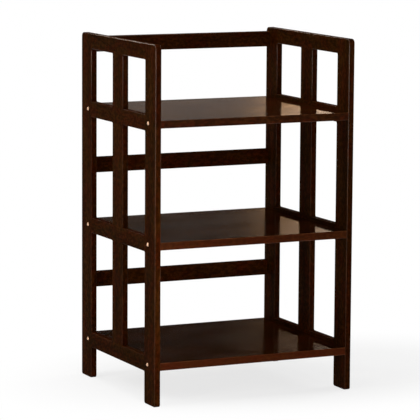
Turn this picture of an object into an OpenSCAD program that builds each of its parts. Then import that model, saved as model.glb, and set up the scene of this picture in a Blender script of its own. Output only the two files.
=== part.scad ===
// Open bookcase with three shelves between two slatted side frames and three back rails.
// Millimetres. The front faces -Y, up is +Z, and the origin is on the floor in the middle of the footprint.

/* [Overall size] */
// Width over the outer faces of the two side frames
overall_w = 590; // [520:5:720]
// Depth from the front posts' faces to the rear posts' backs
overall_d = 500; // [440:5:560]
// Height from the floor to the top of the side frames
overall_h = 965; // [920:5:1060]

/* [Side frames] */
// Thickness of every board in the side frames
frame_t = 17; // [16:1:24]
// Width of a post, measured front to back
post_w = 68; // [60:1:76]
// Width of a middle slat, measured front to back
slat_w = 69; // [56:1:90]
// Height of a side rail
rail_h = 43; // [40:1:56]
// Radius of the side frame's outer top corners
corner_r = 12; // [3:1:20]
// Radius of the corners at the foot of a post
foot_r = 7; // [2:1:12]
// Radius of the eased long edges
edge_r = 2; // [1:0.5:4]

/* [Shelves] */
// Thickness of a shelf
shelf_t = 21; // [17:1:25]
// Height of the lowest shelf's middle plane above the floor
lowest_shelf_z = 108.5; // [80:0.5:140]
// Distance from one shelf to the next
shelf_pitch = 323.5; // [290:0.5:345]

/* [Back rails] */
// Height of a back rail
back_rail_h = 43; // [40:1:56]
// Thickness of a back rail, measured front to back
back_rail_t = 20; // [16:1:28]
// Distance from the top of the side frames down to the top back rail
back_rail_drop = 12; // [0:1:30]

/* [Dowel joints] */
// Diameter of every dowel
dowel_d = 8; // [6:1:10]
// Length of a dowel between a side rail and a post
rail_dowel_len = 40; // [30:1:50]
// Length of a dowel between a slat and a side rail
slat_dowel_len = 30; // [20:1:36]
// Length of a dowel between a back rail and a rear post
back_dowel_len = 30; // [24:1:40]
// Length of the part of that dowel that is in the rear post
back_dowel_in_post = 12; // [8:1:14]
// Distance from a rail's long edge to its dowels' axes
rail_dowel_edge = 9.5; // [8:0.5:10.5]
// Distance from a slat's long edge to its dowels' axes
slat_dowel_edge = 15; // [8:1:18]
// Gap all round a dowel in its hole
dowel_clear = 0.1; // [0.05:0.05:0.2]
// Gap at the bottom of a dowel's hole
dowel_end_gap = 0.5; // [0.3:0.1:1]

/* [Shelf bolts] */
// Diameter of a bolt's shank
bolt_d = 6; // [5:0.5:7]
// Length of a bolt under its head
bolt_len = 50; // [45:1:60]
// Diameter of a bolt's head
bolt_head_d = 9; // [8:0.5:11]
// Height of a bolt's head
bolt_head_h = 3; // [2.5:0.5:4]
// Width across the flats of the hexagon socket in the head
socket_w = 4; // [3:0.5:5]
// Depth of that socket
socket_depth = 1.8; // [1:0.2:2.2]
// Length of the bolt's tip that stands past its nut
bolt_tip = 6; // [2:1:8]
// Distance from a post's inner side to its bolts' axes
bolt_edge = 22; // [16:1:28]
// Gap all round a bolt's shank and head in the wood
bolt_clear = 0.3; // [0.2:0.1:0.6]

/* [Barrel nuts] */
// Diameter of a barrel nut
nut_d = 10; // [9:0.5:12]
// Length of a barrel nut
nut_len = 13; // [11:0.5:15]
// Width of the screwdriver slot in its lower end
slot_w = 1.2; // [0.8:0.2:2]
// Depth of that slot
slot_depth = 1.2; // [0.8:0.2:2]
// Gap all round a nut in its hole, and round the bolt in the nut
nut_clear = 0.1; // [0.05:0.05:0.2]
// Gap between a nut and the closed end of its hole
nut_end_gap = 0.5; // [0.3:0.1:0.8]

/* [Bolt caps] */
// Height of a cap's dome above the post
cap_rise = 3.4; // [2:0.2:4.4]
// Width of the cap's rim past the hole that it covers
cap_lip = 0.3; // [0.2:0.1:1]
// Length of the cap's stem in the hole
cap_stem_len = 1.7; // [1.2:0.1:3]
// Gap all round the stem in the hole
cap_clear = 0.1; // [0.05:0.05:0.15]
// Gap between the stem and the bolt's head
cap_head_gap = 0.3; // [0.2:0.1:0.6]

/* [Hidden] */

$fn = 48;
// Cutters reach this far past the face that they start from
over = 1;
espresso = "#2b1a12";
espresso_shelf = "#3a2217";
beech = "#c9a877";
zinc = "#b9bcc0";
brass = "#b98b5e";

// Planes of the right side frame; the left one is its mirror image
x_out = overall_w / 2;
x_in = x_out - frame_t;
x_mid = x_out - frame_t / 2;
y_front = -overall_d / 2;
y_gap = y_front + post_w;
rail_len = overall_d - 2 * post_w;

// Heights of the shelves' middle planes, where the side rails and bolts also are
lower_z = lowest_shelf_z;
middle_z = lower_z + shelf_pitch;
upper_z = middle_z + shelf_pitch;
top_z = overall_h - rail_h / 2;
rail_levels = [lower_z, middle_z, upper_z, top_z];

// Heights of the back rails' middles: two lie midway between shelves
lower_back_z = lower_z + shelf_pitch / 2;
upper_back_z = middle_z + shelf_pitch / 2;
top_back_z = overall_h - back_rail_drop - back_rail_h / 2;
back_levels = [lower_back_z, upper_back_z, top_back_z];
y_back_rail = overall_d / 2 - back_rail_t / 2;

// Dowels stand this far above and below a rail's middle, or each side of a slat's middle
rail_dowel_off = rail_h / 2 - rail_dowel_edge;
back_dowel_off = back_rail_h / 2 - rail_dowel_edge;
slat_dowel_off = slat_w / 2 - slat_dowel_edge;
dowel_hole_d = dowel_d + 2 * dowel_clear;

// Shelf bolt joint: recess in the post, bolt, nut in the shelf
y_bolt = y_gap - bolt_edge;
recess_d = bolt_head_d + 2 * bolt_clear;
recess_depth = bolt_head_h + cap_head_gap + cap_stem_len;
bolt_hole_d = bolt_d + 2 * bolt_clear;
x_bolt_seat = x_out - recess_depth;
x_bolt_end = x_bolt_seat - bolt_len;
x_nut = x_bolt_end + bolt_tip + nut_d / 2;
nut_hole_top = nut_len / 2 + nut_end_gap;
cap_stem_d = recess_d - 2 * cap_clear;
cap_d = recess_d + 2 * cap_lip;
cap_ball_r = (pow(cap_d / 2, 2) + pow(cap_rise, 2)) / (2 * cap_rise);

// Waste outside a rounded corner at [x, y]; sx and sy point from the corner into the board
module corner_waste(x, y, sx, sy, r) {
    translate([x, y]) difference() {
        translate([sx > 0 ? -over : -r, sy > 0 ? -over : -r]) square(r + over);
        translate([sx * r, sy * r]) circle(r);
    }
}

// Rectangle with four rounded corners, centred
module rounded_rect(w, h, r) {
    difference() {
        square([w, h], center = true);
        for (sx = [-1, 1], sy = [-1, 1]) corner_waste(-sx * w / 2, -sy * h / 2, sx, sy, r);
    }
}

// Board along X whose section lies in the YZ plane
module board_x(len, y, z, w, h) {
    translate([-len / 2, y, z]) rotate([90, 0, 90]) linear_extrude(len) rounded_rect(w, h, edge_r);
}

module both_sides() {
    children();
    mirror([1, 0, 0]) children();
}

module front_and_rear() {
    children();
    mirror([0, 1, 0]) children();
}

// Solid cylinder of a dowel or its hole, centred on the joint face, along Y
module dowel_y(d, len) {
    rotate([90, 0, 0]) cylinder(d = d, h = len, center = true);
}

module dowel_z(d, len) {
    cylinder(d = d, h = len, center = true);
}

// Dowel along X that reaches in_post into the rear post and the rest of len into the back rail
module dowel_x(d, len, in_post) {
    translate([in_post - len, 0, 0]) rotate([0, 90, 0]) cylinder(d = d, h = len);
}

// Dowels or holes between the side rail at height z and the front post
module rail_end_dowels(z, d, len) {
    for (s = [-1, 1]) translate([x_mid, y_gap, z + s * rail_dowel_off]) dowel_y(d, len);
}

// Dowels or holes between a slat and a rail, on the joint face at height z
module slat_end_dowels(z, d, len) {
    for (s = [-1, 1]) translate([x_mid, s * slat_dowel_off, z]) dowel_z(d, len);
}

// Dowels or holes between the right rear post and the back rail at height z
module back_end_dowels(z, d, len, in_post) {
    for (s = [-1, 1]) translate([x_in, y_back_rail, z + s * back_dowel_off]) dowel_x(d, len, in_post);
}

// Recess and hole that a shelf bolt needs in the right front post
module bolt_bore_post(z) {
    translate([x_out + over, y_bolt, z]) rotate([0, -90, 0]) cylinder(d = recess_d, h = recess_depth + over);
    translate([x_out, y_bolt, z]) rotate([0, -90, 0]) cylinder(d = bolt_hole_d, h = frame_t + over);
}

// Outline of a front post seen from the side
module post_outline() {
    difference() {
        translate([y_front, 0]) square([post_w, overall_h]);
        corner_waste(y_front, overall_h, 1, -1, corner_r);
        corner_waste(y_front, 0, 1, 1, foot_r);
        corner_waste(y_gap, 0, -1, 1, foot_r);
    }
}

// Outline of a front post seen from above, with its two front edges eased
module post_plan() {
    difference() {
        translate([x_in, y_front]) square([frame_t, post_w]);
        corner_waste(x_in, y_front, 1, 1, edge_r);
        corner_waste(x_out, y_front, -1, 1, edge_r);
    }
}

// Right front post with everything that a rear post has as well
module post() {
    difference() {
        intersection() {
            translate([x_in, 0, 0]) rotate([90, 0, 90]) linear_extrude(frame_t) post_outline();
            linear_extrude(overall_h) post_plan();
        }
        for (z = rail_levels) rail_end_dowels(z, dowel_hole_d, rail_dowel_len + 2 * dowel_end_gap);
        for (z = [lower_z, middle_z, upper_z]) bolt_bore_post(z);
    }
}

module rear_post() {
    difference() {
        mirror([0, 1, 0]) post();
        for (z = back_levels)
            back_end_dowels(z, dowel_hole_d, back_dowel_len, back_dowel_in_post + dowel_end_gap);
    }
}

// Side rail at height z with dowel holes in its ends; slats meet it above and below as told
module side_rail(z, slat_above, slat_below) {
    hole_len = slat_dowel_len + 2 * dowel_end_gap;
    difference() {
        translate([x_in, -rail_len / 2, z - rail_h / 2]) cube([frame_t, rail_len, rail_h]);
        front_and_rear() rail_end_dowels(z, dowel_hole_d, rail_dowel_len + 2 * dowel_end_gap);
        if (slat_above) slat_end_dowels(z + rail_h / 2, dowel_hole_d, hole_len);
        if (slat_below) slat_end_dowels(z - rail_h / 2, dowel_hole_d, hole_len);
    }
}

// Slat between the rails at heights z_low and z_high
module slat(z_low, z_high) {
    bottom = z_low + rail_h / 2;
    top = z_high - rail_h / 2;
    hole_len = slat_dowel_len + 2 * dowel_end_gap;
    difference() {
        translate([x_in, -slat_w / 2, bottom]) cube([frame_t, slat_w, top - bottom]);
        for (z = [bottom, top]) slat_end_dowels(z, dowel_hole_d, hole_len);
    }
}

// All the dowels of the right side frame
module frame_dowels() {
    front_and_rear() for (z = rail_levels) rail_end_dowels(z, dowel_d, rail_dowel_len);
    for (i = [0 : 2]) {
        slat_end_dowels(rail_levels[i] + rail_h / 2, dowel_d, slat_dowel_len);
        slat_end_dowels(rail_levels[i + 1] - rail_h / 2, dowel_d, slat_dowel_len);
    }
}

// Shelf at height z, drilled in its ends for the bolts and from below for the nuts
module shelf(z) {
    difference() {
        board_x(2 * x_in, 0, z, overall_d, shelf_t);
        both_sides() front_and_rear() {
            translate([x_in + over, y_bolt, z]) rotate([0, -90, 0])
                cylinder(d = bolt_hole_d, h = x_in + over - x_bolt_end + dowel_end_gap);
            translate([x_nut, y_bolt, z - shelf_t / 2 - over])
                cylinder(d = nut_d + 2 * nut_clear, h = shelf_t / 2 + over + nut_hole_top);
        }
    }
}

module back_rail(z) {
    difference() {
        board_x(2 * x_in, y_back_rail, z, back_rail_t, back_rail_h);
        both_sides() back_end_dowels(z, dowel_hole_d, back_dowel_len + dowel_end_gap, back_dowel_in_post);
    }
}

// One bolt with its head's seat at the origin and its shank along -X
module bolt() {
    difference() {
        union() {
            rotate([0, -90, 0]) cylinder(d = bolt_d, h = bolt_len);
            rotate([0, 90, 0]) cylinder(d = bolt_head_d, h = bolt_head_h);
        }
        translate([bolt_head_h - socket_depth, 0, 0]) rotate([0, 90, 0])
            cylinder(d = socket_w / cos(30), h = socket_depth + over, $fn = 6);
    }
}

module shelf_bolts(z) {
    both_sides() front_and_rear() translate([x_bolt_seat, y_bolt, z]) bolt();
}

// Barrel nut centred on the bolt's axis, with its slot at the lower end
module barrel_nut() {
    difference() {
        cylinder(d = nut_d, h = nut_len, center = true);
        rotate([0, 90, 0]) cylinder(d = bolt_d + 2 * nut_clear, h = nut_d + 2 * over, center = true);
        translate([-nut_d, -slot_w / 2, -nut_len / 2 - over]) cube([2 * nut_d, slot_w, slot_depth + over]);
    }
}

module barrel_nuts(z) {
    both_sides() front_and_rear() translate([x_nut, y_bolt, z]) barrel_nut();
}

// Domed cap on the post's face, with its stem in the recess over the bolt's head
module bolt_cap() {
    rotate([0, 90, 0]) rotate_extrude() union() {
        intersection() {
            translate([0, cap_rise - cap_ball_r]) circle(cap_ball_r, $fn = 96);
            square([cap_d / 2 + over, cap_rise + over]);
        }
        translate([0, -cap_stem_len]) square([cap_stem_d / 2, cap_stem_len]);
    }
}

module bolt_caps(z) {
    both_sides() front_and_rear() translate([x_out, y_bolt, z]) bolt_cap();
}

module right_front_post() { color(espresso) post(); }
module right_rear_post() { color(espresso) rear_post(); }
module right_top_rail() { color(espresso) side_rail(top_z, false, true); }
module right_upper_rail() { color(espresso) side_rail(upper_z, true, true); }
module right_middle_rail() { color(espresso) side_rail(middle_z, true, true); }
module right_lower_rail() { color(espresso) side_rail(lower_z, true, false); }
module right_upper_slat() { color(espresso) slat(upper_z, top_z); }
module right_middle_slat() { color(espresso) slat(middle_z, upper_z); }
module right_lower_slat() { color(espresso) slat(lower_z, middle_z); }
module right_frame_dowels() { color(beech) frame_dowels(); }

module left_front_post() { mirror([1, 0, 0]) right_front_post(); }
module left_rear_post() { mirror([1, 0, 0]) right_rear_post(); }
module left_top_rail() { mirror([1, 0, 0]) right_top_rail(); }
module left_upper_rail() { mirror([1, 0, 0]) right_upper_rail(); }
module left_middle_rail() { mirror([1, 0, 0]) right_middle_rail(); }
module left_lower_rail() { mirror([1, 0, 0]) right_lower_rail(); }
module left_upper_slat() { mirror([1, 0, 0]) right_upper_slat(); }
module left_middle_slat() { mirror([1, 0, 0]) right_middle_slat(); }
module left_lower_slat() { mirror([1, 0, 0]) right_lower_slat(); }
module left_frame_dowels() { mirror([1, 0, 0]) right_frame_dowels(); }

module upper_shelf() { color(espresso_shelf) shelf(upper_z); }
module middle_shelf() { color(espresso_shelf) shelf(middle_z); }
module lower_shelf() { color(espresso_shelf) shelf(lower_z); }

module top_back_rail() { color(espresso) back_rail(top_back_z); }
module upper_back_rail() { color(espresso) back_rail(upper_back_z); }
module lower_back_rail() { color(espresso) back_rail(lower_back_z); }
module back_rail_dowels() {
    color(beech) both_sides() for (z = back_levels)
        back_end_dowels(z, dowel_d, back_dowel_len, back_dowel_in_post);
}

module upper_shelf_bolts() { color(zinc) shelf_bolts(upper_z); }
module middle_shelf_bolts() { color(zinc) shelf_bolts(middle_z); }
module lower_shelf_bolts() { color(zinc) shelf_bolts(lower_z); }
module upper_barrel_nuts() { color(zinc) barrel_nuts(upper_z); }
module middle_barrel_nuts() { color(zinc) barrel_nuts(middle_z); }
module lower_barrel_nuts() { color(zinc) barrel_nuts(lower_z); }
module upper_bolt_caps() { color(brass) bolt_caps(upper_z); }
module middle_bolt_caps() { color(brass) bolt_caps(middle_z); }
module lower_bolt_caps() { color(brass) bolt_caps(lower_z); }

right_front_post();
right_rear_post();
right_top_rail();
right_upper_rail();
right_middle_rail();
right_lower_rail();
right_upper_slat();
right_middle_slat();
right_lower_slat();
right_frame_dowels();
left_front_post();
left_rear_post();
left_top_rail();
left_upper_rail();
left_middle_rail();
left_lower_rail();
left_upper_slat();
left_middle_slat();
left_lower_slat();
left_frame_dowels();
upper_shelf();
middle_shelf();
lower_shelf();
top_back_rail();
upper_back_rail();
lower_back_rail();
back_rail_dowels();
upper_shelf_bolts();
middle_shelf_bolts();
lower_shelf_bolts();
upper_barrel_nuts();
middle_barrel_nuts();
lower_barrel_nuts();
upper_bolt_caps();
middle_bolt_caps();
lower_bolt_caps();
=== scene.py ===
import math

import bmesh
import bpy
from mathutils import Matrix, Vector
from mathutils.geometry import delaunay_2d_cdt


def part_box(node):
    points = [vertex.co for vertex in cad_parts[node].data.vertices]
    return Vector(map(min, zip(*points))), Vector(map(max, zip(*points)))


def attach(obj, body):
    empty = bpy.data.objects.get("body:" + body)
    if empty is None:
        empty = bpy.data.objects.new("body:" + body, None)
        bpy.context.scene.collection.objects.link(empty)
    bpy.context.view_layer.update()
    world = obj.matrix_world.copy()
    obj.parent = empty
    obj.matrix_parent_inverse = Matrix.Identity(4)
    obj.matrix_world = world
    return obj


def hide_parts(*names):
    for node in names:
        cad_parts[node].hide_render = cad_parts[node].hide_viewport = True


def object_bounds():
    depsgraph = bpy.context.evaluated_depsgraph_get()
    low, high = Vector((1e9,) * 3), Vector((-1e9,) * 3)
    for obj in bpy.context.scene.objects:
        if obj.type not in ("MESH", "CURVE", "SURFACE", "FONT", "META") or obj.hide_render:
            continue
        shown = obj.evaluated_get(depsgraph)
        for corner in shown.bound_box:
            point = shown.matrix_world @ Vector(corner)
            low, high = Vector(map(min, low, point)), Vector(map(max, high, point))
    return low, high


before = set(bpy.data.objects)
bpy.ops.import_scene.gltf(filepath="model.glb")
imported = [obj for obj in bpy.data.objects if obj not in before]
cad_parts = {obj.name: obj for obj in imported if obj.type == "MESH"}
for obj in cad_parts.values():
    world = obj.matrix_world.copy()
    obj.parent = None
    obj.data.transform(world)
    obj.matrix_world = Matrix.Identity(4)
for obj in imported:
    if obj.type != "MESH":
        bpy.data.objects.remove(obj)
cad_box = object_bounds()

# Metres, in the CAD frame: +X to the viewer's right of the open front, -Y out of the front, +Z up

# --- The photograph's camera ---
AZIMUTH, PITCH, ROLL = (math.radians(a) for a in (25.44, 8.03, 0.38))
DISTANCE = 7.3857
AIM_RIGHT, AIM_UP = -0.01477, -0.00023
IMAGE_PX = 420
FOCAL_PX = 2673.58
SENSOR_MM = 36
CLIP_END = 100

low, high = cad_box
centre = Vector((0, 0, (low.z + high.z) / 2))
forward = Vector((math.sin(AZIMUTH) * math.cos(PITCH), math.cos(AZIMUTH) * math.cos(PITCH), -math.sin(PITCH)))
level_right = Vector((math.cos(AZIMUTH), -math.sin(AZIMUTH), 0))
level_up = level_right.cross(forward)
right = math.cos(ROLL) * level_right + math.sin(ROLL) * level_up
up = math.cos(ROLL) * level_up - math.sin(ROLL) * level_right
camera_data = bpy.data.cameras.new("camera")
camera_data.sensor_width = SENSOR_MM
camera_data.lens = SENSOR_MM * FOCAL_PX / IMAGE_PX
camera_data.clip_end = CLIP_END
camera = bpy.data.objects.new("camera", camera_data)
bpy.context.scene.collection.objects.link(camera)
camera.matrix_world = Matrix.Translation(
    centre - forward * DISTANCE + right * AIM_RIGHT + up * AIM_UP
) @ Matrix((right, up, -forward)).transposed().to_4x4()
bpy.context.scene.camera = camera


# --- Shader helpers ---
def new_material(name):
    material = bpy.data.materials.new(name)
    material.use_nodes = True
    material.node_tree.nodes.clear()
    return material


class Nodes:
    """Adds nodes to a tree; a value that is a socket is linked, and any other is set."""

    def __init__(self, tree):
        self.tree = tree

    def add(self, kind, inputs=None, **settings):
        node = self.tree.nodes.new("ShaderNode" + kind)
        for key, value in settings.items():
            setattr(node, key, value)
        for key, value in (inputs or {}).items():
            socket = node.inputs[key]
            if isinstance(value, bpy.types.NodeSocket):
                self.tree.links.new(value, socket)
            else:
                socket.default_value = value
        return node

    def math(self, operation, a, b=0.5, clamp=False):
        return self.add("Math", {0: a, 1: b}, operation=operation, use_clamp=clamp).outputs[0]

    def mix(self, factor, a, b, blend="MIX"):
        node = self.add("Mix", {0: factor, 6: a, 7: b}, data_type="RGBA", blend_type=blend)
        return node.outputs[2]

    def span(self, value, from_low, from_high, to_low=0.0, to_high=1.0, smooth=True):
        node = self.add(
            "MapRange",
            {"Value": value, "From Min": from_low, "From Max": from_high, "To Min": to_low, "To Max": to_high},
            interpolation_type="SMOOTHSTEP" if smooth else "LINEAR",
        )
        return node.outputs["Result"]

    def noise(self, vector, stretch, detail=4.0, roughness=0.55, distortion=0.0):
        """Noise with its own size along each axis; stretch is in cells per metre."""
        mapped = self.add("Mapping", {"Vector": vector, "Scale": stretch})
        node = self.add(
            "TexNoise",
            {"Vector": mapped.outputs[0], "Scale": 1.0, "Detail": detail, "Roughness": roughness,
             "Distortion": distortion},
        )
        return node.outputs["Fac"]

    def ramp(self, factor, stops):
        """Colour ramp through the stops, which are (position, colour) in rising order."""
        node = self.add("ValToRGB", {"Fac": factor})
        elements = node.color_ramp.elements
        for i, (position, colour) in enumerate(stops):
            stop = elements[i] if i < 2 else elements.new(position)
            stop.position, stop.color = position, colour
        return node.outputs["Color"]

    def output(self, shader, kind="OutputMaterial"):
        self.add(kind, {"Surface": shader})


def rgb(*channels):
    """Linear colour from 0 to 255 display values."""
    return tuple((c / 255 / 12.92 if c <= 10 else ((c / 255 + 0.055) / 1.055) ** 2.4) for c in channels) + (1.0,)


# Dark, mid and light tone of the redder and of the browner patches of the stain; the browner tones also paint the
# side faces' reflection
STAINS = (
    (rgb(30, 8, 0), rgb(42, 13, 1), rgb(58, 20, 4)),
    (rgb(26, 12, 0), rgb(38, 19, 2), rgb(53, 29, 6)),
)
STAIN_STOPS = (0.30, 0.5, 0.72)
PORE_STAIN = STAINS[0][0]
# Paler colour of the eased edges: partly worn stain, partly a painted highlight
WORN_AND_HIGHLIT_STAIN = rgb(104, 62, 34)
WOOD_IOR = 1.45
WAVER_REACH = 0.016
STAVE_WIDTH = 0.0835
PORE_DEPTH = 0.00012
POLISH_ROUGHNESS = 0.2
# How strongly each pattern shows in the tone, the hue or the relief, from 0 to 1
FIGURE_SHARE, FIBRE_SHARE = 0.65, 0.35
MOTTLE_CONTRAST, STAVE_CONTRAST = 0.13, 0.16
# The first share is random browner patches of stain; the second paints the side faces browner, a painted reflection
BROWN_IN_PATCHES, PAINTED_SIDE_HAZE = 0.6, 0.3
PORE_DARKNESS = 0.45
# Share of the paler edge colour, which is partly wear and partly a painted highlight
RUBBED_AND_HIGHLIT_LEAST, RUBBED_AND_HIGHLIT_MOST = 0.1, 0.5
FIBRE_RELIEF, PORE_RELIEF = 0.6, 0.8
FIBRE_ROUGHNESS = 0.04


def lacquered_wood(name, gloss, specular, relief_strength, staves=0.0, polish=0.0, pale=None):
    """Stained, lacquered wood. The grain attribute is (along, across, deep) in metres.

    gloss is the lacquer's roughness. staves is the width of the glued strips, where they show.
    polish is how much the eased edges shine. pale is the colour that the stain goes towards by
    the board's paleness attribute, which is a painted highlight.
    """
    material = new_material(name)
    n = Nodes(material.node_tree)
    grain = n.add("Attribute", attribute_name="grain").outputs["Vector"]
    # Slow waver of the fibres, so that streaks aren't ruled lines
    waver = n.noise(grain, (2.2, 9.0, 9.0), detail=2.0)
    bent = n.add(
        "VectorMath",
        {0: grain, 1: n.add("CombineXYZ", {"Y": n.math("MULTIPLY", waver, WAVER_REACH)}).outputs[0]},
        operation="ADD",
    ).outputs[0]
    figure = n.noise(bent, (1.6, 34.0, 34.0), detail=3.0, roughness=0.6)
    fibre = n.noise(bent, (9.0, 520.0, 520.0), detail=3.0, roughness=0.65)
    pore = n.noise(bent, (55.0, 1500.0, 1500.0), detail=1.0)
    pores = n.span(pore, 0.60, 0.70)
    smudge = n.noise(grain, (7.0, 11.0, 11.0), detail=3.0)
    mottle = n.noise(grain, (95.0, 150.0, 150.0), detail=2.0)

    tone = n.math("ADD", n.math("MULTIPLY", figure, FIGURE_SHARE), n.math("MULTIPLY", fibre, FIBRE_SHARE))
    tone = n.math("ADD", tone, n.span(mottle, 0.36, 0.64, -MOTTLE_CONTRAST, MOTTLE_CONTRAST))
    if staves:
        across = n.add("SeparateXYZ", {"Vector": grain}).outputs["Y"]
        stave = n.math("FLOOR", n.math("DIVIDE", across, staves))
        shift = n.add("TexWhiteNoise", {"W": stave}, noise_dimensions="1D").outputs["Value"]
        tone = n.math("ADD", tone, n.math("MULTIPLY", n.math("SUBTRACT", shift, 0.5), STAVE_CONTRAST))
    redder, browner = (n.ramp(tone, zip(STAIN_STOPS, stain)) for stain in STAINS)
    blotch = n.noise(grain, (13.0, 26.0, 26.0), detail=2.0)
    # Browner stain in random patches, and the side faces painted browner as well: a painted reflection of the
    # bright surroundings they face
    normal = n.add("NewGeometry").outputs["Normal"]
    sideways = n.math("ABSOLUTE", n.add("SeparateXYZ", {"Vector": normal}).outputs["X"])
    brown_patches_and_side_haze = n.math(
        "ADD",
        n.span(blotch, 0.40, 0.60, 0.0, BROWN_IN_PATCHES),
        n.span(sideways, 0.3, 0.9, 0.0, PAINTED_SIDE_HAZE),
    )
    stain_and_painted_light = n.mix(brown_patches_and_side_haze, redder, browner)
    if pale:
        stain_and_painted_light = n.mix(n.add("Attribute", attribute_name="paleness").outputs["Fac"], stain_and_painted_light, pale)
    colour = n.mix(n.math("MULTIPLY", pores, PORE_DARKNESS), stain_and_painted_light, PORE_STAIN)
    # Stain rubbed thin along the eased edges, in patches, together with a painted highlight on those edges
    edge = n.add("Attribute", attribute_name="edge").outputs["Fac"]
    patch = n.span(n.noise(grain, (26.0, 60.0, 60.0), detail=3.0), 0.42, 0.66)
    rubbed_and_highlit = n.math("MULTIPLY", edge, n.span(patch, 0.0, 1.0, RUBBED_AND_HIGHLIT_LEAST, RUBBED_AND_HIGHLIT_MOST))
    colour = n.mix(rubbed_and_highlit, colour, WORN_AND_HIGHLIT_STAIN)

    smudged = n.span(smudge, 0.3, 0.7, gloss - 0.02, gloss + 0.03)
    rough = n.math("ADD", smudged, n.math("MULTIPLY", fibre, FIBRE_ROUGHNESS))
    relief = n.math("SUBTRACT", n.math("MULTIPLY", fibre, FIBRE_RELIEF), n.math("MULTIPLY", pores, PORE_RELIEF))
    bump = n.add("Bump", {"Strength": relief_strength, "Distance": PORE_DEPTH, "Height": relief})
    inputs = {
        "Base Color": colour, "Roughness": rough, "Normal": bump.outputs[0], "IOR": WOOD_IOR,
        "Specular IOR Level": specular,
    }
    if polish:
        inputs["Coat Weight"] = n.math("MULTIPLY", edge, polish)
        inputs["Coat Roughness"] = POLISH_ROUGHNESS
    n.output(n.add("BsdfPrincipled", inputs).outputs[0])
    return material


FRAME_WOOD = lacquered_wood("espresso_frame_wood", gloss=0.48, specular=0.003, relief_strength=0.35, polish=0.6)
SHELF_WOOD = lacquered_wood(
    "espresso_shelf_wood", gloss=0.14, specular=0.215, relief_strength=0.07, staves=STAVE_WIDTH
)
# Its pale colour paints a highlight on the front edges of the lower shelves
SHELF_EDGE_WOOD = lacquered_wood(
    "espresso_shelf_edge", gloss=0.42, specular=0.03, relief_strength=0.3, staves=STAVE_WIDTH, polish=0.3,
    pale=rgb(96, 38, 12),
)


def beech_material():
    material = new_material("beech_dowel")
    n = Nodes(material.node_tree)
    place = n.add("TexCoord").outputs["Object"]
    streak = n.noise(place, (400.0, 400.0, 60.0), detail=4.0)
    fleck = n.span(n.noise(place, (900.0, 900.0, 300.0), detail=1.0), 0.60, 0.68)
    wood = n.ramp(streak, ((0.35, rgb(188, 150, 104)), (0.70, rgb(222, 190, 146))))
    colour = n.mix(n.math("MULTIPLY", fleck, 0.4), wood, rgb(160, 116, 74))
    bump = n.add("Bump", {"Strength": 0.3, "Distance": 0.0001, "Height": streak})
    shader = n.add(
        "BsdfPrincipled",
        {"Base Color": colour, "Roughness": n.span(streak, 0.3, 0.7, 0.55, 0.7), "Normal": bump.outputs[0]},
    )
    n.output(shader.outputs[0])
    return material


def metal_material(name, base, tarnish, rough, scratch_size, tarnish_share):
    material = new_material(name)
    n = Nodes(material.node_tree)
    place = n.add("TexCoord").outputs["Object"]
    cloud = n.noise(place, (220.0, 220.0, 220.0), detail=4.0, distortion=0.6)
    scratch = n.noise(place, scratch_size, detail=2.0)
    spots = n.span(cloud, 0.52, 0.72)
    colour = n.mix(n.math("MULTIPLY", spots, tarnish_share), base, tarnish)
    roughness = n.math(
        "ADD", n.span(scratch, 0.3, 0.7, rough - 0.05, rough + 0.06), n.math("MULTIPLY", spots, 0.12)
    )
    bump = n.add("Bump", {"Strength": 0.2, "Distance": 0.00004, "Height": scratch})
    shader = n.add(
        "BsdfPrincipled",
        {"Base Color": colour, "Metallic": 1.0, "Roughness": roughness, "Normal": bump.outputs[0]},
    )
    n.output(shader.outputs[0])
    return material


BEECH = beech_material()
ZINC = metal_material(
    "zinc_plated_steel", rgb(196, 198, 202), rgb(150, 150, 146), 0.34, (300.0, 2600.0, 2600.0), 0.5
)
BRASS = metal_material(
    "antique_brass", rgb(226, 186, 154), rgb(160, 116, 88), 0.36, (2400.0, 900.0, 2400.0), 0.45
)

# --- Boards: flat faces with an eased rim whose radius may change along the outline ---
EASE = 0.002
RIM_STEPS = 5
# Length over which an eased edge fades out beside a joint
RAMP = 0.005
RAMP_STEPS = 4
TOP_CORNER = 0.012
FOOT_CORNER = 0.007
CORNER_STEPS = 10
HOLE_SIDES = 32
SHARP = math.radians(40)
# A face that points less than this along the thickness belongs to the board's edge
FLAT_FACE = 0.9
# Vertices that agree to a micrometre are one
KEYS_PER_METRE = 1e6
CDT_FACES_WITH_HOLES, CDT_EPSILON = 5, 1e-7
# Heights between which a frame's edge polish and paler colour grow, the colour partly wear and partly a painted
# highlight, and their share below them
WEAR_AND_HIGHLIGHT_FROM, WEAR_AND_HIGHLIGHT_TO = 0.84, 0.955
WEAR_AND_HIGHLIGHT_LEAST = 0.25
SHELF_LEVELS = ("lower", "middle", "upper")
LEVELS = SHELF_LEVELS + ("top",)


def straight(start, end, eased=()):
    """Stations (point, inward normal, radius) from start to end.

    Each eased stretch is (from, to, fades at from, fades at to), in metres along the line.
    """
    start, end = Vector(start), Vector(end)
    along = (end - start).normalized()
    inward = Vector((-along.y, along.x))
    stations = [(0.0, 0.0)]
    for first, last, fade_in, fade_out in eased:
        if fade_in:
            stations += [
                (first + RAMP * i / RAMP_STEPS, EASE * math.sin(math.pi / 2 * i / RAMP_STEPS))
                for i in range(RAMP_STEPS + 1)
            ]
        else:
            stations.append((first, EASE))
        if fade_out:
            stations += [
                (last - RAMP * i / RAMP_STEPS, EASE * math.sin(math.pi / 2 * i / RAMP_STEPS))
                for i in range(RAMP_STEPS, -1, -1)
            ]
        else:
            stations.append((last, EASE))
    if not eased or eased[-1][3]:
        stations.append(((end - start).length, 0.0))
    if eased and not eased[0][2] and eased[0][0] == 0:
        stations = stations[1:]
    return [(start + along * distance, inward, radius) for distance, radius in stations]


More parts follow.
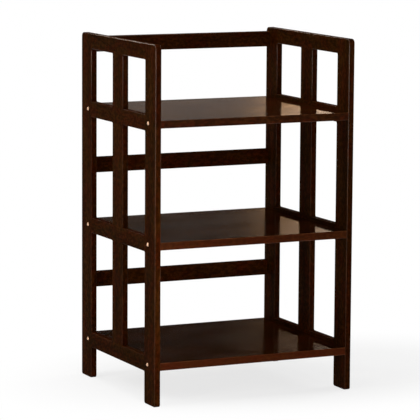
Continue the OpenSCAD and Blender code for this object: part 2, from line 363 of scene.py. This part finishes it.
def round_corner(middle, radius, from_degrees, to_degrees):
    stations = []
    for i in range(1, CORNER_STEPS):
        angle = math.radians(from_degrees + (to_degrees - from_degrees) * i / CORNER_STEPS)
        out = Vector((math.cos(angle), math.sin(angle)))
        stations.append((Vector(middle) + radius * out, -out, EASE))
    return stations


# Which of (outline u, outline v, thickness) goes to x, y and z
AXES = {"x": (2, 0, 1), "y": (0, 2, 1), "z": (0, 1, 2)}
seeds = iter(range(1000))


def wear_and_highlight_by_height(z):
    """How strongly a frame's edge at this height takes its polish and its paler colour, partly wear and partly a
    painted highlight: fully along the top.
    """
    return WEAR_AND_HIGHLIGHT_LEAST + (1 - WEAR_AND_HIGHLIGHT_LEAST) * min(max((z - WEAR_AND_HIGHLIGHT_FROM) / (WEAR_AND_HIGHLIGHT_TO - WEAR_AND_HIGHLIGHT_FROM), 0), 1)


def board(
    name, axis, outline, first_face, last_face, along, across, material,
    holes=(), edge_material=None, paleness=0.0,
):
    """Mesh of a board whose flat faces lie at first_face and last_face on the axis.

    holes is (list of (u, v, radius), depth): round holes drilled into the first face.
    along and across are the axis letters of the grain's length and width. edge_material is for
    all but the flat faces, and paleness is how far its stain goes towards its pale colour.
    """
    mesh = bpy.data.meshes.new(name)
    bm = bmesh.new()
    edge_layer = bm.verts.layers.float.new("edge")
    known = {}

    def vertex(u, v, w, edge=0.0):
        values = (u, v, w)
        place = tuple(values[i] for i in AXES[axis])
        key = tuple(round(c * KEYS_PER_METRE) for c in place)
        if key not in known:
            known[key] = bm.verts.new(place)
        # Frame edges take more polish and a paler colour towards the top: partly wear, partly a painted highlight
        rubbed_and_highlit = wear_and_highlight_by_height(place[2]) if material is FRAME_WOOD else 1.0
        known[key][edge_layer] = max(known[key][edge_layer], edge * rubbed_and_highlit)
        return known[key]

    def face(corners):
        unique = [c for i, c in enumerate(corners) if c not in corners[:i]]
        if len(unique) > 2 and not bm.faces.get(unique):
            bm.faces.new(unique)

    def rings(w_face, into):
        """Rings of the eased rim, from the side wall to the flat face; into is +1 or -1 along w."""
        result = []
        for k in range(RIM_STEPS + 1):
            turn = math.pi / 2 * k / RIM_STEPS
            ring = []
            for point, inward, radius in outline:
                spot = point + inward * radius * (1 - math.cos(turn))
                drop = radius * (1 - math.sin(turn))
                ring.append(
                    vertex(spot.x, spot.y, w_face + into * drop, math.sin(2 * turn) * radius / EASE)
                )
            result.append(ring)
        return result

    first, last = rings(first_face, 1), rings(last_face, -1)
    count = len(outline)
    for strips in (first, list(reversed(last))):
        for inner, outer in zip(strips, strips[1:]):
            for i in range(count):
                j = (i + 1) % count
                face([inner[i], inner[j], outer[j], outer[i]])
    for i in range(count):
        j = (i + 1) % count
        face([first[0][i], first[0][j], last[0][j], last[0][i]])

    def loop(ring):
        return [c for i, c in enumerate(ring) if c is not ring[i - 1]]

    bm.faces.new(loop(last[-1]))
    if holes:
        centres, depth = holes
        uv = [AXES[axis].index(0), AXES[axis].index(1)]
        rim = loop(first[-1])
        flat = [Vector((c.co[uv[0]], c.co[uv[1]])) for c in rim]
        edges = [(i, (i + 1) % len(flat)) for i in range(len(flat))]
        turns = [math.tau * i / HOLE_SIDES for i in range(HOLE_SIDES)]
        for u, v, radius in centres:
            base = len(flat)
            circle = [(u + radius * math.cos(turn), v + radius * math.sin(turn)) for turn in turns]
            flat += [Vector(c) for c in circle]
            edges += [(base + i, base + (i + 1) % HOLE_SIDES) for i in range(HOLE_SIDES)]
            mouth = [vertex(cu, cv, first_face) for cu, cv in circle]
            floor = [vertex(cu, cv, first_face + depth) for cu, cv in circle]
            for i in range(HOLE_SIDES):
                j = (i + 1) % HOLE_SIDES
                face([mouth[i], mouth[j], floor[j], floor[i]])
            bm.faces.new(floor)
        spots, _, cells, *_ = delaunay_2d_cdt(flat, edges, [], CDT_FACES_WITH_HOLES, CDT_EPSILON)
        for cell in cells:
            face([vertex(spots[i].x, spots[i].y, first_face) for i in cell])
    else:
        bm.faces.new(loop(first[-1]))
    bmesh.ops.recalc_face_normals(bm, faces=bm.faces)
    thickness_axis = AXES[axis].index(2)
    for f in bm.faces:
        f.smooth = True
        f.material_index = int(edge_material is not None and abs(f.normal[thickness_axis]) < FLAT_FACE)
    for e in bm.edges:
        e.smooth = len(e.link_faces) == 2 and e.calc_face_angle(0) < SHARP
    bm.to_mesh(mesh)
    bm.free()

    # Grain coordinates: this board's own stretch of wood, longest along its length
    seed = next(seeds)
    offset = Vector((0.73 * seed, 0.31 * (seed * 7 % 13), 0.17 * (seed * 5 % 11)))
    order = ["xyz".index(along), "xyz".index(across)]
    order.append(3 - sum(order))
    attribute = mesh.attributes.new("grain", "FLOAT_VECTOR", "POINT")
    for v in mesh.vertices:
        attribute.data[v.index].vector = [v.co[order[i]] + offset[i] for i in range(3)]
    pale_attribute = mesh.attributes.new("paleness", "FLOAT", "POINT")
    for v in mesh.vertices:
        pale_attribute.data[v.index].value = paleness
    mesh.materials.append(material)
    if edge_material:
        mesh.materials.append(edge_material)
    piece = bpy.data.objects.new(name, mesh)
    bpy.context.scene.collection.objects.link(piece)
    normals = piece.modifiers.new("face_normals", "WEIGHTED_NORMAL")
    normals.keep_sharp = True
    return piece


def stand_for(piece, node):
    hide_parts(node)
    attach(piece, "root")


def post_outline(side):
    """Outline in (y, z) of a front post, whose inner side is eased only where no rail meets it."""
    lo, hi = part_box(f"{side}_front_post")
    front, inner, top = lo.y, hi.y, hi.z
    rails = [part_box(f"{side}_{level}_rail") for level in LEVELS]
    starts = [FOOT_CORNER] + [box[1].z for box in rails[:-1]]
    ends = [box[0].z for box in rails]
    open_runs = [
        (a - FOOT_CORNER, b - FOOT_CORNER, i > 0, True) for i, (a, b) in enumerate(zip(starts, ends))
    ]
    outline = straight(
        (front + FOOT_CORNER, 0), (inner - FOOT_CORNER, 0), [(0, inner - front - 2 * FOOT_CORNER, False, False)]
    )
    outline += round_corner((inner - FOOT_CORNER, FOOT_CORNER), FOOT_CORNER, -90, 0)
    outline += straight((inner, FOOT_CORNER), (inner, top), open_runs)
    outline += straight(
        (inner, top), (front + TOP_CORNER, top), [(0, inner - front - TOP_CORNER, False, False)]
    )
    outline += round_corner((front + TOP_CORNER, top - TOP_CORNER), TOP_CORNER, 90, 180)
    outline += straight(
        (front, top - TOP_CORNER), (front, FOOT_CORNER), [(0, top - TOP_CORNER - FOOT_CORNER, False, False)]
    )
    outline += round_corner((front + FOOT_CORNER, FOOT_CORNER), FOOT_CORNER, 180, 270)
    return outline


def front_to_rear(outline):
    return [(Vector((-p.x, p.y)), Vector((-d.x, d.y)), r) for p, d, r in outline]


for side in ("left", "right"):
    for place, turned in (("front", False), ("rear", True)):
        node = f"{side}_{place}_post"
        lo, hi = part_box(node)
        outline = post_outline(side)
        if turned:
            outline = front_to_rear(outline)
        post = board(node + "_board", "x", outline, lo.x, hi.x, "z", "y", FRAME_WOOD)
        stand_for(post, node)

    slat_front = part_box(f"{side}_upper_slat")[0].y
    for level in LEVELS:
        node = f"{side}_{level}_rail"
        lo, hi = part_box(node)
        length = hi.y - lo.y
        beside = slat_front - lo.y
        by_slat = [(0, beside, True, True), (length - beside, length, True, True)]
        below = by_slat if level != "lower" else [(0, length, True, True)]
        above = by_slat if level != "top" else [(0, length, False, False)]
        outline = straight((lo.y, lo.z), (hi.y, lo.z), below)
        outline += straight((hi.y, lo.z), (hi.y, hi.z))
        outline += straight((hi.y, hi.z), (lo.y, hi.z), above)
        outline += straight((lo.y, hi.z), (lo.y, lo.z))
        rail = board(node + "_board", "x", outline, lo.x, hi.x, "y", "z", FRAME_WOOD)
        stand_for(rail, node)

    for level in SHELF_LEVELS:
        node = f"{side}_{level}_slat"
        lo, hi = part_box(node)
        tall = [(0, hi.z - lo.z, True, True)]
        outline = straight((lo.y, lo.z), (hi.y, lo.z))
        outline += straight((hi.y, lo.z), (hi.y, hi.z), tall)
        outline += straight((hi.y, hi.z), (lo.y, hi.z))
        outline += straight((lo.y, hi.z), (lo.y, lo.z), tall)
        slat = board(node + "_board", "x", outline, lo.x, hi.x, "z", "y", FRAME_WOOD)
        stand_for(slat, node)


def long_board(u0, u1, v0, v1):
    """Rectangle with both long edges eased from end to end, and plain ends."""
    run = [(0, u1 - u0, False, False)]
    outline = straight((u0, v0), (u1, v0), run) + straight((u1, v0), (u1, v1))
    return outline + straight((u1, v1), (u0, v1), run) + straight((u0, v1), (u0, v0))


NUT_RADIUS = 0.005
NUT_GAP = 0.0001
NUT_END_GAP = 0.0005
# Painted highlight on the shelves' edges: palest on the lower shelf, none on the upper
PAINTED_EDGE_HIGHLIGHT = {"lower": 0.22, "middle": 0.12, "upper": 0.0}
for level in SHELF_LEVELS:
    node = f"{level}_shelf"
    lo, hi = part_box(node)
    nut_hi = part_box(f"{level}_barrel_nuts")[1]
    nut_x, nut_y = nut_hi.x - NUT_RADIUS, nut_hi.y - NUT_RADIUS
    drilled = [(sx * nut_x, sy * nut_y, NUT_RADIUS + NUT_GAP) for sx in (-1, 1) for sy in (-1, 1)]
    shelf = board(
        node + "_board", "z", long_board(lo.x, hi.x, lo.y, hi.y), lo.z, hi.z, "x", "y", SHELF_WOOD,
        holes=(drilled, nut_hi.z + NUT_END_GAP - lo.z), edge_material=SHELF_EDGE_WOOD,
        paleness=PAINTED_EDGE_HIGHLIGHT[level],
    )
    stand_for(shelf, node)

for level in ("lower", "upper", "top"):
    node = f"{level}_back_rail"
    lo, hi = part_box(node)
    rail = board(
        node + "_board", "y", long_board(lo.x, hi.x, lo.z, hi.z), lo.y, hi.y, "x", "z", FRAME_WOOD
    )
    stand_for(rail, node)

# --- Bolt caps: turned brass, with a fine groove round the dome ---
CAP_SIDES = 48
DOME_STEPS = 9
# (distance in from the cap's outline, height over the post) of the rim and the groove inside it
CAP_RIM = ((0.0002, 0.0), (0.0, 0.0001), (0.0, 0.00035), (0.0001, 0.00045), (0.0005, 0.00048), (0.00065, 0.00035))
DOME_INSET = 0.0008


def cap_profile(radius, rise):
    """Profile (distance from the axis, height over the post) of the cap's visible part."""
    ball = (radius**2 + rise**2) / (2 * rise)
    points = [(radius - inset, height) for inset, height in CAP_RIM]
    for i in range(DOME_STEPS):
        r = (radius - DOME_INSET) * (1 - i / DOME_STEPS)
        points.append((r, rise - ball + math.sqrt(ball**2 - r**2)))
    return points


for level in SHELF_LEVELS:
    node = f"{level}_bolt_caps"
    lo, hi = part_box(node)
    post_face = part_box("right_front_post")[1].x
    rise = hi.x - post_face
    cap_radius = (hi.z - lo.z) / 2
    middle_z = (hi.z + lo.z) / 2
    cap_y = hi.y - cap_radius
    bm = bmesh.new()
    for sx in (-1, 1):
        for sy in (-1, 1):
            rows = []
            for r, height in cap_profile(cap_radius, rise):
                rows.append([
                    bm.verts.new((
                        sx * (post_face + height),
                        sy * cap_y + r * math.cos(math.tau * i / CAP_SIDES),
                        middle_z + r * math.sin(math.tau * i / CAP_SIDES),
                    ))
                    for i in range(CAP_SIDES)
                ])
            for a, b in zip(rows, rows[1:]):
                for i in range(CAP_SIDES):
                    j = (i + 1) % CAP_SIDES
                    bm.faces.new((a[i], a[j], b[j], b[i]))
            peak = bm.verts.new((sx * (post_face + rise), sy * cap_y, middle_z))
            for i in range(CAP_SIDES):
                bm.faces.new((rows[-1][i], rows[-1][(i + 1) % CAP_SIDES], peak))
            bm.faces.new(rows[0])
    bmesh.ops.recalc_face_normals(bm, faces=bm.faces)
    for f in bm.faces:
        f.smooth = True
    for e in bm.edges:
        e.smooth = e.calc_face_angle(0) < SHARP
    mesh = bpy.data.meshes.new(node + "_turned")
    bm.to_mesh(mesh)
    bm.free()
    mesh.materials.append(BRASS)
    caps = bpy.data.objects.new(node + "_turned", mesh)
    bpy.context.scene.collection.objects.link(caps)
    stand_for(caps, node)

# --- CAD nodes that stay: dowels, bolts and nuts ---
for node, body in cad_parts.items():
    if node.endswith("dowels"):
        finish = BEECH
    elif node.endswith(("shelf_bolts", "barrel_nuts")):
        finish = ZINC
    else:
        continue
    body.data.materials.clear()
    body.data.materials.append(finish)

# --- Floor ---
FLOOR_HALF = 40
FLOOR_TONES = (0.80, 0.80, 0.80, 1), (0.84, 0.84, 0.84, 1)
FLOOR_ROUGHNESS, FLOOR_SPECULAR = 0.75, 0.2
WHITE = (1, 1, 1, 1)
# Less white is mixed into the floor round the middle below, to the right of the object, which paints a soft shadow
# over the lamps' real shadows; it fades out between these distances from that middle
FLOOR_WHITE_FROM, FLOOR_WHITE_TO = 0.28, 0.60
PAINTED_SHADE_MIDDLE = (0.22, 0.06, 0.0)
SHADE_SQUEEZE = (0.66, 1.0, 1.0)
# Share of plain white where the shade is fullest
NEAR_WHITE = 0.765


def floor_material():
    """Pale floor that runs out into white, like a paper sweep, with a painted soft shadow round the object."""
    material = new_material("pale_floor")
    n = Nodes(material.node_tree)
    place = n.add("TexCoord").outputs["Object"]
    mottle = n.noise(place, (3.0, 3.0, 3.0), detail=3.0)
    matt = n.add(
        "BsdfPrincipled",
        {"Base Color": n.mix(mottle, *FLOOR_TONES), "Roughness": FLOOR_ROUGHNESS,
         "Specular IOR Level": FLOOR_SPECULAR},
    )
    rays = n.add("LightPath")
    seen = n.math(
        "ADD",
        n.math("ADD", rays.outputs["Is Camera Ray"], rays.outputs["Is Glossy Ray"]),
        rays.outputs["Is Transmission Ray"],
        clamp=True,
    )
    offset = n.add("VectorMath", {0: place, 1: PAINTED_SHADE_MIDDLE}, operation="SUBTRACT").outputs[0]
    offset = n.add("VectorMath", {0: offset, 1: SHADE_SQUEEZE}, operation="MULTIPLY").outputs[0]
    from_shade = n.add("VectorMath", {0: offset}, operation="LENGTH").outputs["Value"]
    # Less white near the object: a painted shadow, laid over the matt floor's real shadows
    share = n.span(from_shade, FLOOR_WHITE_FROM, FLOOR_WHITE_TO, NEAR_WHITE, 1.0)
    white = n.add("Emission", {"Color": WHITE, "Strength": 1.0})
    factor = n.math("MULTIPLY", seen, share)
    mixed = n.add("MixShader", {0: factor, 1: matt.outputs[0], 2: white.outputs[0]})
    n.output(mixed.outputs[0])
    return material


floor_mesh = bpy.data.meshes.new("floor")
floor_corners = [(x * FLOOR_HALF, y * FLOOR_HALF, 0) for x, y in ((-1, -1), (1, -1), (1, 1), (-1, 1))]
floor_mesh.from_pydata(floor_corners, [], [(0, 1, 2, 3)])
floor_mesh.materials.append(floor_material())
floor = bpy.data.objects.new("floor", floor_mesh)
bpy.context.scene.collection.objects.link(floor)

# --- World and lamps ---
GLOW_AZIMUTH = math.radians(32)
GLOW_RIM, GLOW_CORE = math.cos(math.radians(6.0)), math.cos(math.radians(2.5))
GLOW_LEVEL = 7.4
GLOW_COLOUR = (1.0, 0.80, 0.64, 1)
WARM_COLOUR = (1.0, 0.46, 0.10, 1)
# Sines of elevation: where the glow begins and ends, and where the sky turns warm and white again
GLOW_BEGINS, GLOW_ENDS = (0.092, 0.108), (0.116, 0.132)
WARM_BEGINS, WARM_ENDS = (0.072, 0.090), (0.2, 0.4)
# (sine of the elevation, level): a white horizon, a warm strip over it, a dark wall and a soft ceiling
SKY = ((0.0, 1.0), (0.034, 1.0), (0.062, 0.32), (0.092, 0.38), (0.113, 0.0), (0.45, 0.0), (0.75, 0.10), (1.0, 0.10))

world = bpy.data.worlds.new("studio")
world.use_nodes = True
world.node_tree.nodes.clear()
bpy.context.scene.world = world
n = Nodes(world.node_tree)
direction = n.add("TexCoord").outputs["Generated"]
height = n.add("SeparateXYZ", {"Vector": direction}).outputs["Z"]
base = n.ramp(height, [(place, (grey, grey, grey, 1)) for place, grey in SKY])
level_direction = n.add("VectorMath", {0: direction, 1: (1, 1, 0)}, operation="MULTIPLY").outputs[0]
level_direction = n.add("VectorMath", {0: level_direction}, operation="NORMALIZE").outputs[0]
toward_glow = n.add(
    "VectorMath", {0: level_direction, 1: (math.sin(GLOW_AZIMUTH), math.cos(GLOW_AZIMUTH), 0)},
    operation="DOT_PRODUCT",
).outputs["Value"]
band = n.math("MULTIPLY", n.span(height, *GLOW_BEGINS), n.span(height, *GLOW_ENDS, 1.0, 0.0))
near_glow = n.span(toward_glow, GLOW_RIM, GLOW_CORE)
glow = n.math("MULTIPLY", band, n.math("MULTIPLY", near_glow, GLOW_LEVEL))
warmth = n.mix(n.span(height, *WARM_BEGINS), WHITE, WARM_COLOUR)
warmth = n.mix(near_glow, warmth, GLOW_COLOUR)
warmth = n.mix(n.span(height, *WARM_ENDS), warmth, WHITE)
sky = n.add("Background", {"Color": warmth, "Strength": n.math("ADD", base, glow)})
n.output(sky.outputs[0], "OutputWorld")


MIDDLE = (0, 0, 0.5)
WARM_LAMP = (1.0, 0.90, 0.78)


def area_lamp(name, place, aim, size, watts, colour=(1, 1, 1), mirrored=True):
    data = bpy.data.lights.new(name, "AREA")
    data.shape = "RECTANGLE"
    data.size, data.size_y = size
    data.energy = watts
    data.color = colour
    lamp = bpy.data.objects.new(name, data)
    lamp.location = place
    lamp.rotation_euler = (Vector(aim) - Vector(place)).to_track_quat("-Z", "Y").to_euler()
    lamp.visible_camera = False
    lamp.visible_glossy = mirrored
    bpy.context.scene.collection.objects.link(lamp)


area_lamp("key", (-1.0, -3.0, 2.2), MIDDLE, (1.6, 1.6), 15)
area_lamp("front", (-0.2, -3.4, 0.6), MIDDLE, (1.4, 0.7), 37)
area_lamp("left", (-2.6, 0.1, 2.6), MIDDLE, (1.2, 1.2), 42)
area_lamp("kicker", (-2.5, -1.5, 0.75), (-0.29, -0.25, 0.9), (0.3, 0.3), 11, WARM_LAMP)
area_lamp("rim", (-0.56, 3.6, 2.66), (-0.29, 0, 0.96), (0.5, 0.3), 13, WARM_LAMP)
area_lamp("top", (0.0, 0.0, 3.0), (0, 0, 0), (2.0, 2.0), 26)
area_lamp("right", (2.8, 0.5, 2.6), MIDDLE, (1.4, 1.4), 38)
area_lamp("back", (-1.7, 2.9, 2.9), MIDDLE, (1.2, 1.2), 40)
area_lamp("post_fill", (-0.30, -0.56, 0.40), (-0.28, -0.25, 0.40), (0.06, 0.26), 0.85, mirrored=False)

bpy.context.scene.view_settings.view_transform = "Standard"
